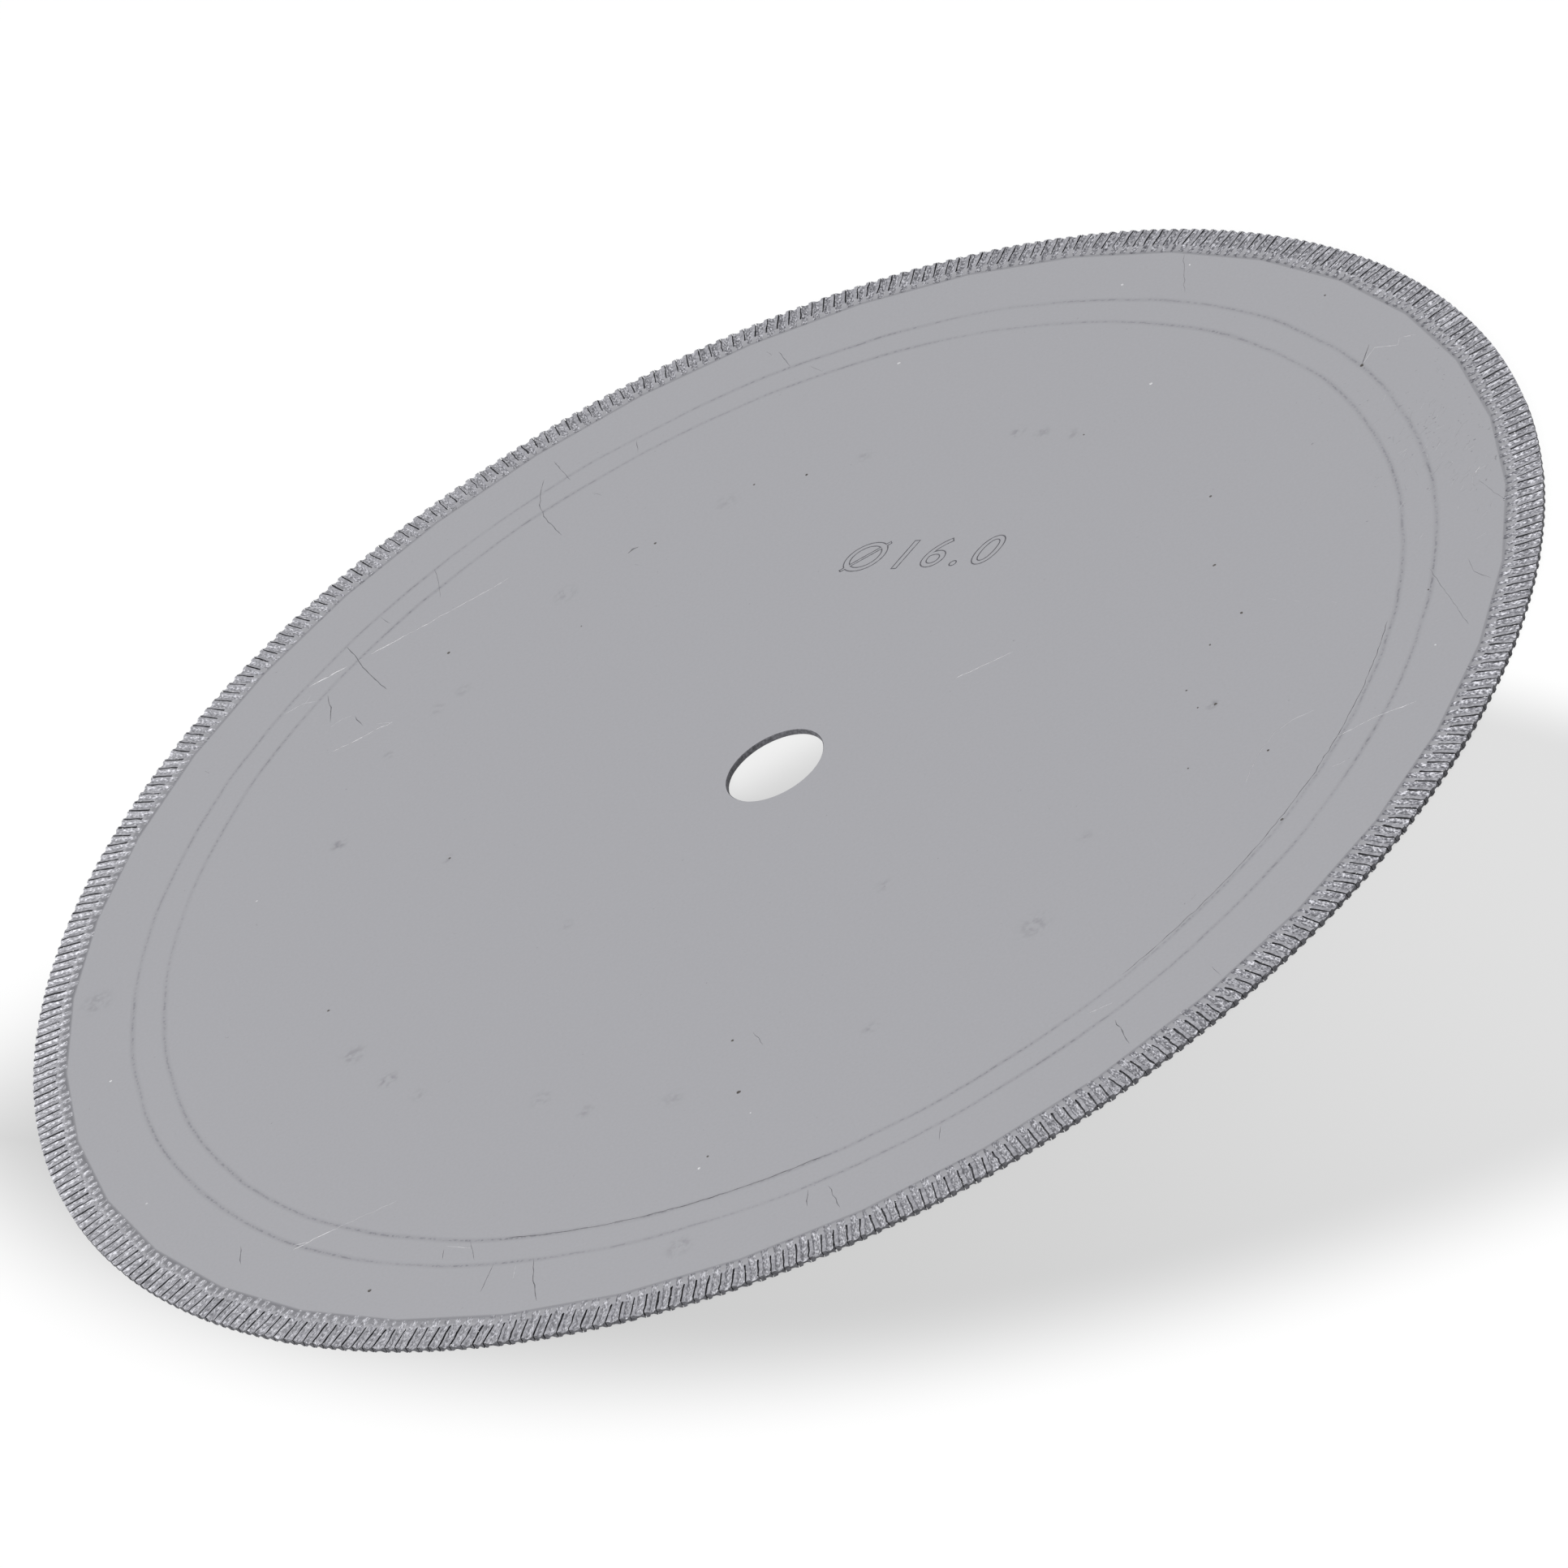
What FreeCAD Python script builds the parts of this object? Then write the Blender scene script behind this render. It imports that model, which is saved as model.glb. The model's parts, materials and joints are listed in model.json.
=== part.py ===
import FreeCAD, Part
import math
import os

# A notched-rim lapidary saw blade: one thin steel disc with a round bore.
# It lies flat: the origin is the centre of the bore on the lower face, and +Z is up.
# The rim is cut and pressed in groups. Within a group the slits are parallel to each
# other, and between two slits each face is pressed in to a V-shaped dent, so that the
# metal of the slit's two lips closes on the abrasive. Lengths are in millimetres.

SIZES = (
    ("blade_diameter", 250.0, "across the rim"),
    ("blade_thickness", 1.0, "between the two faces, and at the lips of the slits"),
    ("bore_diameter", 16.0, "hole for the arbor"),
    ("slits_per_group", 10, "parallel slits cut at one setting"),
    ("slit_pitch", 1.98, "from one slit of a group to the next"),
    ("junction_gap", 2.3, "least gap at the rim between the last and first slits of two groups"),
    ("slit_depth", 4.3, "from the rim to the slit's inner end"),
    ("slit_mouth", 0.2, "width of a slit at the rim"),
    ("dent_length", 5.8, "from the rim to the straight line of the dents' inner ends"),
    ("dent_width", 1.0, "across a dent at its inner end"),
    ("dent_end_run", 0.45, "length of the slope that closes a dent's inner end"),
    ("junction_end_width", 0.35, "least width of the tapered dent between two groups"),
    ("neck_thickness", 0.3, "metal left at the rim between the two faces' dents"),
    ("bore_overrun", 1.0, "how far the boring tool passes each face"),
)

doc = FreeCAD.newDocument("lapidary_saw_blade")

# Sheet of sizes
sheet = doc.addObject("Spreadsheet::Sheet", "sizes")
for row, (name, value, meaning) in enumerate(SIZES, start=1):
    sheet.set(f"A{row}", name)
    sheet.set(f"B{row}", str(value))
    sheet.set(f"C{row}", meaning)
    sheet.setAlias(f"B{row}", name)
doc.recompute()

rim_radius = sheet.blade_diameter / 2
thickness = sheet.blade_thickness
slits_per_group = int(sheet.slits_per_group)
slit_pitch = sheet.slit_pitch
half_mouth = sheet.slit_mouth / 2
slit_end = rim_radius - sheet.slit_depth
dent_end = rim_radius - sheet.dent_length
half_land = (slit_pitch - sheet.dent_width) / 2
dent_depth = (thickness - sheet.neck_thickness) / 2

# As many groups as the rim has room for
group_length = (slits_per_group - 1) * slit_pitch + sheet.junction_gap
group_count = int(math.pi * sheet.blade_diameter / group_length)
group_turn = 360 / group_count


def plan_point(along, across, turn):
    """A point on the lower face, from its place in a group that is turned about the bore."""
    return FreeCAD.Rotation(FreeCAD.Vector(0, 0, 1), turn).multVec(FreeCAD.Vector(along, across, 0))


def rim_point(across, turn):
    """Where a line parallel to the group's axis meets the rim."""
    return plan_point(math.sqrt(rim_radius ** 2 - across ** 2), across, turn)


def slit_plan(number, turn):
    """The five plan points of one slit and the two lands beside it, in order round the blade."""
    across = (number - (slits_per_group - 1) / 2) * slit_pitch
    return {
        "land_before": plan_point(dent_end, across - half_land, turn),
        "mouth_before": rim_point(across - half_mouth, turn),
        "tip": plan_point(slit_end, across, turn),
        "mouth_after": rim_point(across + half_mouth, turn),
        "land_after": plan_point(dent_end, across + half_land, turn),
    }


def taper_junction(last, first, turn):
    """Ends the dent between two groups where its closing walls leave its least width."""
    middle = FreeCAD.Rotation(FreeCAD.Vector(0, 0, 1), turn + group_turn / 2)
    sideways = middle.multVec(FreeCAD.Vector(0, 1, 0))
    half_least = sheet.junction_end_width / 2
    half_rim = -last["mouth_after"].dot(sideways)
    half_end = -last["land_after"].dot(sideways)
    share = min(1, (half_rim - half_least) / (half_rim - half_end))
    last["land_after"] = last["mouth_after"] + (last["land_after"] - last["mouth_after"]) * share
    first["land_before"] = first["mouth_before"] + (first["land_before"] - first["mouth_before"]) * share


def polygon(points):
    return Part.Face(Part.makePolygon(points + [points[0]]))


def valley(slit, after, inwards):
    """The two ends of a dent's valley line, pressed in from the face that the points lie on."""
    mouth_a, end_a = slit["mouth_after"], slit["land_after"]
    mouth_b, end_b = after["mouth_before"], after["land_before"]
    rim_end = (mouth_a + mouth_b) * 0.5 + FreeCAD.Vector(0, 0, inwards * dent_depth)
    flank_a = (end_a - mouth_a).cross(rim_end - mouth_a)
    flank_b = (end_b - mouth_b).cross(rim_end - mouth_b)
    line = flank_a.cross(flank_b)
    length = (end_a + end_b) * 0.5 - (mouth_a + mouth_b) * 0.5
    unit = length / length.Length
    run = (length.Length - sheet.dent_end_run) / line.dot(unit)
    return rim_end, rim_end + line * run


def raised(points, level):
    return {name: FreeCAD.Vector(point.x, point.y, level) for name, point in points.items()}


def rim_faces(slit, after):
    """The dents on both faces, the rim between two slits, and the walls of the first slit."""
    faces = []
    rim_line = []
    for level, inwards in ((0, 1), (thickness, -1)):
        near, far = raised(slit, level), raised(after, level)
        rim_end, inner_end = valley(near, far, inwards)
        faces.append(polygon([near["mouth_after"], near["land_after"], inner_end, rim_end]))
        faces.append(polygon([far["mouth_before"], far["land_before"], inner_end, rim_end]))
        faces.append(polygon([near["land_after"], far["land_before"], inner_end]))
        rim_line.append([near["mouth_after"], rim_end, far["mouth_before"]])
    faces.append(polygon(rim_line[0] + rim_line[1][::-1]))
    low, high = raised(slit, 0), raised(slit, thickness)
    for mouth in ("mouth_before", "mouth_after"):
        faces.append(polygon([low[mouth], low["tip"], high["tip"], high[mouth]]))
    return faces


def face_plan(slits, level):
    """A flat face: the lands reach out to the rim beside every slit."""
    names = ("land_before", "mouth_before", "tip", "mouth_after", "land_after")
    return polygon([raised(slit, level)[name] for slit in slits for name in names])


# Plan of every slit, group by group
slits = []
for group in range(group_count):
    for number in range(slits_per_group):
        slits.append(slit_plan(number, group * group_turn))
for group in range(group_count):
    last = slits[group * slits_per_group + slits_per_group - 1]
    first = slits[(group + 1) * slits_per_group % len(slits)]
    taper_junction(last, first, group * group_turn)

# The disc with its cut and pressed rim
skin = [face_plan(slits, 0), face_plan(slits, thickness)]
for number, slit in enumerate(slits):
    skin += rim_faces(slit, slits[(number + 1) % len(slits)])
closed_skin = Part.makeCompound(skin)
closed_skin.sewShape()
disc = doc.addObject("Part::Feature", "pressed_disc")
disc.Label = "pressed disc"
disc.Shape = Part.Solid(closed_skin.Shells[0])

# The bore
bore = doc.addObject("Part::Cylinder", "bore")
bore.Label = "bore"
bore.setExpression("Radius", "sizes.bore_diameter / 2")
bore.setExpression("Height", "sizes.blade_thickness + 2 * sizes.bore_overrun")
bore.setExpression("Placement.Base.z", "-sizes.bore_overrun")
blade = doc.addObject("Part::Cut", "blade")
blade.Label = "blade"
blade.Base = disc
blade.Tool = bore
doc.recompute()

# Every object is whole before anything is written
for thing in doc.Objects:
    if "Invalid" in thing.State or "Error" in thing.State:
        raise RuntimeError(f"{thing.Name} did not build: {thing.State}")
for thing in (disc, blade):
    if thing.Shape.isNull() or not thing.Shape.isValid() or len(thing.Shape.Solids) != 1:
        raise RuntimeError(f"{thing.Name} is not one valid solid")

os.makedirs("parts", exist_ok=True)
blade.Shape.exportStep(f"parts/{blade.Label}.step")
print(f"{group_count} groups, {len(slits)} slits, volume {blade.Shape.Volume:.1f} mm3")
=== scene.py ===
import json
import math
import random

import bpy
from mathutils import Matrix, Vector


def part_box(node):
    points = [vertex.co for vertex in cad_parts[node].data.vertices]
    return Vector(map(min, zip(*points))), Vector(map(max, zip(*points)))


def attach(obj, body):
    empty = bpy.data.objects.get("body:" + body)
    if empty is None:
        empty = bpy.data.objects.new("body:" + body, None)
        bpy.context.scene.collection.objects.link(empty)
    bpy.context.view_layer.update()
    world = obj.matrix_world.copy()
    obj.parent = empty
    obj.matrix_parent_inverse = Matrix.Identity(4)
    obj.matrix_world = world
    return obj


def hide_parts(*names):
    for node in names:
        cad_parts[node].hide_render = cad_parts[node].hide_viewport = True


# Looks of a notched-rim lapidary blade: a matt grey steel disc whose rim is slit in groups
# of ten and pressed in between the slits. It lies flat on a pale floor. Lengths in metres.

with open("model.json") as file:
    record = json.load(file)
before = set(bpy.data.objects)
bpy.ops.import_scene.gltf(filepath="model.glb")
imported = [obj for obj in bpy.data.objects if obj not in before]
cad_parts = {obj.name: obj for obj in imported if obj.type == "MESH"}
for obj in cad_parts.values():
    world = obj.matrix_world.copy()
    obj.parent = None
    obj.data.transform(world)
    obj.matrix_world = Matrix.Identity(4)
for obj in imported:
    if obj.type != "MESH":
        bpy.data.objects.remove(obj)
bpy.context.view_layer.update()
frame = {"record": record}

MM = 0.001

# Sizes that the CAD part gives
blade_low, blade_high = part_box("blade")
rim_radius = blade_high.y
thickness = blade_high.z - blade_low.z
bore_radius = frame["record"]["mounts"][0]["dims"]["r_mm"] * MM

# Slits and dents, as in the part's source
slits_per_group = 10
slit_pitch = 1.98 * MM
junction_gap = 2.3 * MM
slit_depth = 4.3 * MM
slit_mouth = 0.2 * MM
dent_length = 5.8 * MM
neck_thickness = 0.3 * MM
group_length = (slits_per_group - 1) * slit_pitch + junction_gap
group_count = int(2 * math.pi * rim_radius / group_length)
group_turn = 2 * math.pi / group_count
slit_count = group_count * slits_per_group
dent_ends = rim_radius - dent_length

# Lines scribed round the upper face
outer_line, inner_line = 108.0 * MM, 102.7 * MM

# The photograph is taken from this side: the blade's groups are turned so much from it
photo_turn = math.radians(2.985)
to_blade = Matrix.Rotation(photo_turn, 2)

dice = random.Random(7)


def seen(right, away):
    """A place on the upper face, in millimetres to the right of the bore and away from the camera."""
    return to_blade @ Vector((right * MM, away * MM))


def deselect_all():
    if bpy.context.object and bpy.context.object.mode == "EDIT":
        bpy.ops.object.mode_set(mode="OBJECT")
    bpy.ops.object.select_all(action="DESELECT")


def linear(code):
    """A colour written as sRGB hex, in the linear values that a shader takes."""
    channels = [int(code[i:i + 2], 16) / 255 for i in (1, 3, 5)]
    return [c / 12.92 if c <= 0.04045 else ((c + 0.055) / 1.055) ** 2.4 for c in channels] + [1.0]


def new_material(name):
    material = bpy.data.materials.new(name)
    material.use_nodes = True
    return material, material.node_tree.nodes["Principled BSDF"]


def add_node(material, kind, settings, inputs):
    """One node with its settings; an input is a plain value or another node's output."""
    node = material.node_tree.nodes.new(kind)
    for name, value in settings.items():
        setattr(node, name, value)
    for name, value in inputs.items():
        if isinstance(value, bpy.types.NodeSocket):
            material.node_tree.links.new(value, node.inputs[name])
        else:
            node.inputs[name].default_value = value
    return node


def looking_rays(material):
    """1 for the rays by which the camera, or a metal's gloss, sees a surface, and 0 for the light on it."""
    rays = add_node(material, "ShaderNodeLightPath", {}, {})
    looking = rays.outputs["Is Camera Ray"]
    for other in ("Is Glossy Ray", "Is Transmission Ray"):
        looking = add_node(
            material, "ShaderNodeMath", {"operation": "MAXIMUM"}, {0: looking, 1: rays.outputs[other]},
        ).outputs[0]
    return looking


# Camera: long lens, low over the blade, turned so that the blade's long axis rises to the right
camera_distance = 1742.4 * MM
camera_elevation = math.radians(31.21)
camera_roll = math.radians(-29.897)
camera_aim = Vector((-0.10, -1.64, -1.69)) * MM
camera_data = bpy.data.cameras.new("camera")
camera_data.sensor_width = 36
camera_data.lens = 266.6
camera_data.clip_end = 20
camera = bpy.data.objects.new("camera", camera_data)
bpy.context.scene.collection.objects.link(camera)
camera_turn = (
    Matrix.Rotation(photo_turn, 4, "Z")
    @ Matrix.Rotation(math.pi / 2 - camera_elevation, 4, "X")
    @ Matrix.Rotation(camera_roll, 4, "Z")
)
camera_back = Matrix.Translation((0, 0, camera_distance))
camera.matrix_world = Matrix.Translation(camera_aim) @ camera_turn @ camera_back
bpy.context.scene.camera = camera

# Faint smudges of handling: right, away, radius in millimetres, and how dark
SMUDGES = [
    (-108, 39, 4, 0.5), (-64, 44, 2, 0.8), (-51, 60, 1.5, 0.5), (-41, 65, 2, 0.4), (-36, 66, 2, 0.4),
    (-15, 76, 3, 0.5), (-76, -12, 3, 0.6), (-73, -23, 2.5, 0.8), (-70, -31, 2, 0.4), (-54, -49, 2.5, 0.5),
    (-49, -58, 2, 0.5), (-7, -77, 2, 0.5), (-50, 24, 1.5, 0.6), (5, -45, 2, 0.4), (34, -61, 2, 0.3),
    (21, -75, 4, 0.5), (58, 50, 2, 0.6), (61, 46, 2, 0.5), (65, 41, 2, 0.4), (36, 67, 2, 0.4),
    (-46, -102, 3, 0.6), (60, -47, 1.5, 0.8), (-39, -10, 2, 0.3), (-37, -67, 3, 0.3), (14, 76, 3, 0.3),
]
# The rim side of the blade to the right is pitted by wear: centre and radius in millimetres
WORN_PATCH = (118, -8, 38)


def from_axis(material, place):
    """How far a place lies from the bore's axis."""
    flat = add_node(material, "ShaderNodeVectorMath", {"operation": "MULTIPLY"}, {0: place, 1: (1, 1, 0)})
    return add_node(
        material, "ShaderNodeVectorMath", {"operation": "LENGTH"}, {0: flat.outputs["Vector"]},
    ).outputs["Value"]


def round_axis(material, place):
    """At what angle round the bore's axis a place lies."""
    parts = add_node(material, "ShaderNodeSeparateXYZ", {}, {"Vector": place})
    return add_node(
        material, "ShaderNodeMath", {"operation": "ARCTAN2"}, {0: parts.outputs["Y"], 1: parts.outputs["X"]},
    ).outputs[0]


def off_ring(material, place, ring_radius, sway):
    """How far a place lies from a ring round the bore whose radius sways."""
    swayed = add_node(
        material, "ShaderNodeMath", {"operation": "ADD"}, {0: from_axis(material, place), 1: sway},
    )
    off = add_node(
        material, "ShaderNodeMath", {"operation": "SUBTRACT"}, {0: swayed.outputs[0], 1: ring_radius},
    )
    return add_node(material, "ShaderNodeMath", {"operation": "ABSOLUTE"}, {0: off.outputs[0]}).outputs[0]


def off_chord(material, place, chord_distance):
    """How far a place lies from a straight line across its group of slits, so far from the bore."""
    in_group = add_node(
        material, "ShaderNodeMath", {"operation": "WRAP"},
        {0: round_axis(material, place), 1: group_turn / 2, 2: -group_turn / 2},
    )
    along = add_node(material, "ShaderNodeMath", {"operation": "COSINE"}, {0: in_group.outputs[0]})
    off = add_node(
        material, "ShaderNodeMath", {"operation": "MULTIPLY_ADD"},
        {0: from_axis(material, place), 1: along.outputs[0], 2: -chord_distance},
    )
    return add_node(material, "ShaderNodeMath", {"operation": "ABSOLUTE"}, {0: off.outputs[0]}).outputs[0]


def drawn_out(material, place, share):
    """A place measured round the rim and, by a share, along the slits: streaks then run along them."""
    around = add_node(
        material, "ShaderNodeMath", {"operation": "MULTIPLY"},
        {0: round_axis(material, place), 1: rim_radius},
    )
    along = add_node(
        material, "ShaderNodeMath", {"operation": "MULTIPLY"}, {0: from_axis(material, place), 1: share},
    )
    parts = add_node(material, "ShaderNodeSeparateXYZ", {}, {"Vector": place})
    return add_node(
        material, "ShaderNodeCombineXYZ", {},
        {"X": around.outputs[0], "Y": along.outputs[0], "Z": parts.outputs["Z"]},
    ).outputs["Vector"]


def leftwards(material, place, start, end, low, high):
    """A value that runs from low to high between two distances, in millimetres, left of the bore."""
    measured = add_node(
        material, "ShaderNodeVectorMath", {"operation": "DOT_PRODUCT"}, {0: place, 1: seen(-1000, 0).to_3d()},
    )
    return add_node(
        material, "ShaderNodeMapRange", {"interpolation_type": "SMOOTHSTEP"},
        {"Value": measured.outputs["Value"], "From Min": start * MM, "From Max": end * MM,
         "To Min": low, "To Max": high},
    ).outputs["Result"]


def painted_dent_end_shade(material, place, tone, chord_distance, reach, most, most_on_left):
    """Paints shade into a tone along the line, straight across each group, at the dents' inner ends: a
    painted shade where the ends dip.

    How dark the painted shade is at most is one share, and another on the blade's left as the camera sees it.
    """
    painted_shade = add_node(
        material, "ShaderNodeMapRange", {"interpolation_type": "SMOOTHSTEP"},
        {"Value": off_chord(material, place, chord_distance), "From Min": reach * 0.3, "From Max": reach,
         "To Min": leftwards(material, place, 60, 110, most, most_on_left), "To Max": 0.0},
    )
    return add_node(
        material, "ShaderNodeMix", {"data_type": "RGBA"},
        {"Factor": painted_shade.outputs["Result"], 6: tone, 7: linear("#55555c")},
    ).outputs[2]


def smudges(material, place):
    """How much a place is smudged: one soft spot each, broken up by a noise of 1.2 mm."""
    breaks = add_node(
        material, "ShaderNodeTexNoise", {}, {"Vector": place, "Scale": 1 / (1.2 * MM), "Detail": 3.0},
    )
    breaks = add_node(
        material, "ShaderNodeMapRange", {},
        {"Value": breaks.outputs["Fac"], "From Min": 0.42, "From Max": 0.62},
    )
    smudged = 0.0
    for right, away, radius, strength in SMUDGES:
        centre = seen(right, away).to_3d() + Vector((0, 0, blade_high.z))
        distance = add_node(
            material, "ShaderNodeVectorMath", {"operation": "DISTANCE"}, {0: place, 1: centre},
        )
        spot = add_node(
            material, "ShaderNodeMapRange", {"interpolation_type": "SMOOTHSTEP"},
            {"Value": distance.outputs["Value"], "From Min": 0, "From Max": radius * MM,
             "To Min": strength, "To Max": 0.0},
        )
        smudged = add_node(
            material, "ShaderNodeMath", {"operation": "MAXIMUM"}, {0: spot.outputs["Result"], 1: smudged},
        ).outputs[0]
    return add_node(
        material, "ShaderNodeMath", {"operation": "MULTIPLY"}, {0: smudged, 1: breaks.outputs["Result"]},
    ).outputs[0]


def scribed_lines(material, place, tone):
    """Darkens a tone along the two lines that a pair of dividers scribed: a speckled core in a soft band of
    painted shade.
    """
    sway = add_node(
        material, "ShaderNodeTexNoise", {}, {"Vector": place, "Scale": 1 / (14 * MM), "Detail": 2.0},
    )
    sway = add_node(
        material, "ShaderNodeMapRange", {},
        {"Value": sway.outputs["Fac"], "To Min": -0.5 * MM, "To Max": 0.5 * MM},
    )
    speckle = add_node(
        material, "ShaderNodeTexNoise", {}, {"Vector": place, "Scale": 1 / (0.6 * MM), "Detail": 3.0},
    )
    speckle = add_node(
        material, "ShaderNodeMapRange", {},
        {"Value": speckle.outputs["Fac"], "From Min": 0.4, "From Max": 0.6, "To Min": 0.05, "To Max": 0.9},
    )
    # How hard the point was pressed on, which changes slowly along a line
    pressure = add_node(
        material, "ShaderNodeTexNoise", {}, {"Vector": place, "Scale": 1 / (25 * MM), "Detail": 1.0},
    )
    pressure = add_node(
        material, "ShaderNodeMapRange", {},
        {"Value": pressure.outputs["Fac"], "From Min": 0.35, "From Max": 0.65,
         "To Min": 0.45, "To Max": 1.0},
    )
    for line_radius in (outer_line, inner_line):
        off_line = off_ring(material, place, line_radius, sway.outputs["Result"])
        core = add_node(
            material, "ShaderNodeMapRange", {"interpolation_type": "SMOOTHSTEP"},
            {"Value": off_line, "From Min": 0.0, "From Max": 0.42 * MM,
             "To Min": speckle.outputs["Result"], "To Max": 0.0},
        )
        # Painted shade beside each line
        painted_shade_band = add_node(
            material, "ShaderNodeMapRange", {"interpolation_type": "SMOOTHSTEP"},
            {"Value": off_line, "From Min": 0.1 * MM, "From Max": 0.8 * MM, "To Min": 0.25, "To Max": 0.0},
        )
        scribed = add_node(
            material, "ShaderNodeMath", {"operation": "MAXIMUM"},
            {0: core.outputs["Result"], 1: painted_shade_band.outputs["Result"]},
        )
        scribed = add_node(
            material, "ShaderNodeMath", {"operation": "MULTIPLY"},
            {0: scribed.outputs[0], 1: pressure.outputs["Result"]},
        )
        tone = add_node(
            material, "ShaderNodeMix", {"data_type": "RGBA"},
            {"Factor": scribed.outputs[0], 6: tone, 7: linear("#808086")},
        ).outputs[2]
    return tone


def wear_pits(material, place):
    """Where pits of about half a millimetre lie: thick in the worn patch and hardly any elsewhere."""
    right, away, reach = WORN_PATCH
    worn_centre = seen(right, away).to_3d() + Vector((0, 0, blade_high.z))
    worn = add_node(
        material, "ShaderNodeVectorMath", {"operation": "DISTANCE"}, {0: place, 1: worn_centre},
    )
    threshold = add_node(
        material, "ShaderNodeMapRange", {"interpolation_type": "SMOOTHSTEP"},
        {"Value": worn.outputs["Value"], "From Min": 8 * MM, "From Max": reach * MM,
         "To Min": 0.71, "To Max": 0.8},
    )
    pits = add_node(
        material, "ShaderNodeTexNoise", {}, {"Vector": place, "Scale": 1 / (0.7 * MM), "Detail": 1.0},
    )
    above = add_node(
        material, "ShaderNodeMath", {"operation": "SUBTRACT"},
        {0: pits.outputs["Fac"], 1: threshold.outputs["Result"]},
    )
    return add_node(
        material, "ShaderNodeMapRange", {}, {"Value": above.outputs[0], "From Min": 0.0, "From Max": 0.06},
    ).outputs["Result"]


def make_sheet_steel():
    """Blasted and plated sheet steel: an even, soft mid grey with hardly any gloss."""
    material, shader = new_material("blasted_sheet_steel")
    place = add_node(material, "ShaderNodeTexCoord", {}, {}).outputs["Object"]
    grain = add_node(
        material, "ShaderNodeTexNoise", {}, {"Vector": place, "Scale": 1 / (0.5 * MM), "Detail": 3.0},
    )
    tone = add_node(
        material, "ShaderNodeMix", {"data_type": "RGBA"},
        {"Factor": grain.outputs["Fac"], 6: linear("#a8a8ac"), 7: linear("#b0b0b5")},
    ).outputs[2]
    tone = add_node(
        material, "ShaderNodeMix", {"data_type": "RGBA"},
        {"Factor": smudges(material, place), 6: tone, 7: linear("#88888d")},
    ).outputs[2]
    # Painted shade along the dents' inner ends, a broad band and a narrow one
    tone = painted_dent_end_shade(material, place, tone, dent_ends + 0.5 * MM, 0.9 * MM, 0.1, 0.55)
    tone = painted_dent_end_shade(material, place, tone, dent_ends - 0.15 * MM, 0.4 * MM, 0.3, 0.35)
    tone = scribed_lines(material, place, tone)
    pitted = wear_pits(material, place)
    tone = add_node(
        material, "ShaderNodeMix", {"data_type": "RGBA"}, {"Factor": pitted, 6: tone, 7: linear("#949498")},
    ).outputs[2]
    # A pit is three times as deep as the grain is high
    height = add_node(
        material, "ShaderNodeMath", {"operation": "MULTIPLY_ADD"},
        {0: pitted, 1: -3.0, 2: grain.outputs["Fac"]},
    )
    bump = add_node(
        material, "ShaderNodeBump", {},
        {"Strength": 0.3, "Distance": 0.01 * MM, "Height": height.outputs[0]},
    )
    material.node_tree.links.new(tone, shader.inputs["Base Color"])
    material.node_tree.links.new(bump.outputs["Normal"], shader.inputs["Normal"])
    shader.inputs["Metallic"].default_value = 0.6
    shader.inputs["Roughness"].default_value = 0.6
    return material


def make_pressed_steel():
    """Steel crushed by the pressing tool: rough, with dark pits and with bright flecks that are painted
    glints, in streaks.
    """
    material, shader = new_material("pressed_steel")
    place = add_node(material, "ShaderNodeTexCoord", {}, {}).outputs["Object"]
    glint_and_pit_noise = add_node(
        material, "ShaderNodeTexNoise", {},
        {"Vector": drawn_out(material, place, 0.45), "Scale": 1 / (0.25 * MM), "Detail": 3.0},
    )
    # The ramp's light end paints glints and its dark end gives the pits
    ramp = add_node(material, "ShaderNodeValToRGB", {}, {"Fac": glint_and_pit_noise.outputs["Fac"]})
    stops = ramp.color_ramp.elements
    stops[0].position, stops[0].color = 0.34, linear("#5e5e64")
    stops[1].position, stops[1].color = 0.66, linear("#dedee4")
    middle = stops.new(0.5)
    middle.color = linear("#96969c")
    # Painted highlight: the blade's left side is painted brighter, as the light falls on it there
    tone_with_painted_left_light = add_node(
        material, "ShaderNodeMix", {"data_type": "RGBA"},
        {"Factor": leftwards(material, place, -60, 90, 0.0, 0.16),
         6: ramp.outputs["Color"], 7: linear("#f4f4f8")},
    ).outputs[2]
    # Painted shade at the dents' inner ends
    tone = painted_dent_end_shade(material, place, tone_with_painted_left_light, dent_ends, 0.5 * MM, 0.5, 0.1)
    bump = add_node(
        material, "ShaderNodeBump", {},
        {"Strength": 0.7, "Distance": 0.035 * MM, "Height": glint_and_pit_noise.outputs["Fac"]},
    )
    material.node_tree.links.new(tone, shader.inputs["Base Color"])
    material.node_tree.links.new(bump.outputs["Normal"], shader.inputs["Normal"])
    shader.inputs["Metallic"].default_value = 0.5
    shader.inputs["Roughness"].default_value = 0.6
    return material


def make_plain_steel(name, dark, light, grain_size, metallic, roughness):
    """A steel surface of one kind whose tone wanders between two greys."""
    material, shader = new_material(name)
    place = add_node(material, "ShaderNodeTexCoord", {}, {}).outputs["Object"]
    grain = add_node(
        material, "ShaderNodeTexNoise", {}, {"Vector": place, "Scale": 1 / grain_size, "Detail": 3.0},
    )
    spread = add_node(
        material, "ShaderNodeMapRange", {},
        {"Value": grain.outputs["Fac"], "From Min": 0.35, "From Max": 0.65},
    )
    tone = add_node(
        material, "ShaderNodeMix", {"data_type": "RGBA"},
        {"Factor": spread.outputs["Result"], 6: linear(dark), 7: linear(light)},
    )
    material.node_tree.links.new(tone.outputs[2], shader.inputs["Base Color"])
    shader.inputs["Metallic"].default_value = metallic
    shader.inputs["Roughness"].default_value = roughness
    return material


sheet_steel = make_sheet_steel()
pressed_steel = make_pressed_steel()
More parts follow.
